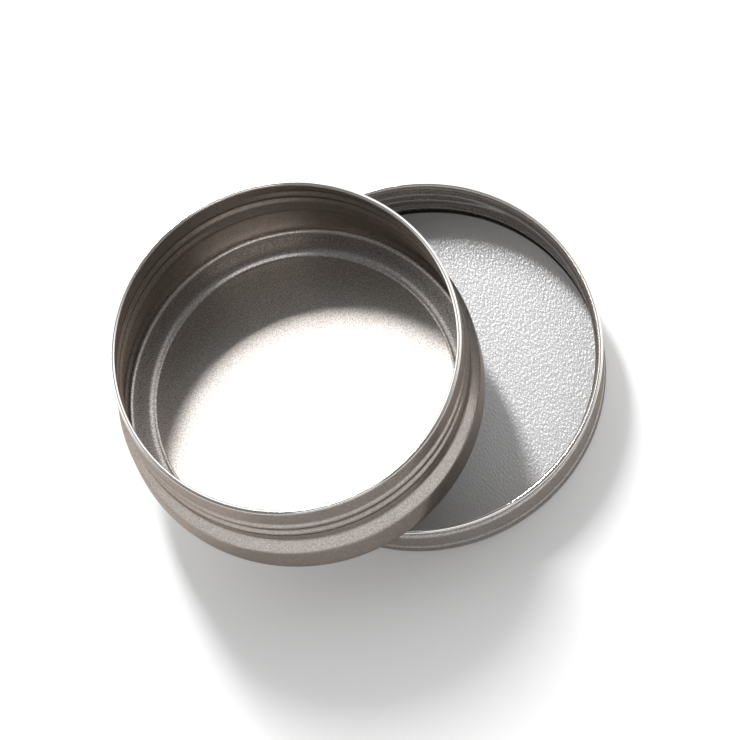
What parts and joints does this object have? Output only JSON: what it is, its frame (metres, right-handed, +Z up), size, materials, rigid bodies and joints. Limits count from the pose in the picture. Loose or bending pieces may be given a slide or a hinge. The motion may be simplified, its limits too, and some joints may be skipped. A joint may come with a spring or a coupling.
{
  "type": "window lid tin",
  "caption": "Shallow round aluminium screw tin with a window in its lid, shown open, the can standing on the rim of its upturned lid.",
  "frame": {"origin": "centre of the open pair's box, on the surface that the upturned lid lies on", "axes": "+X from the can's axis to the lid's axis, +Z up, out of both mouths"},
  "size_m": [0.0888, 0.068, 0.0421],
  "materials": {
    "can_aluminium": "satin, fine grain from drawing",
    "lid_aluminium": "satin, fine grain from drawing",
    "window_plastic": "glossy, finely pebbled, slightly frosted"
  },
  "bodies": {
    "lid": {"lid_ring": "lid_aluminium"},
    "window": {"window_pane": "window_plastic"},
    "can": {"base_can": "can_aluminium"}
  },
  "joints": [
    {"name": "window_turn", "type": "hinge", "parent": "lid", "child": "window", "pos_m": [0.01038, 0, 0.0003], "axis": [0, 0, 1], "continuous": true},
    {"name": "base_lift", "type": "slide", "parent": "lid", "child": "can", "axis": [0, 0, 1], "range_m": [0, 0.05]}
  ]
}
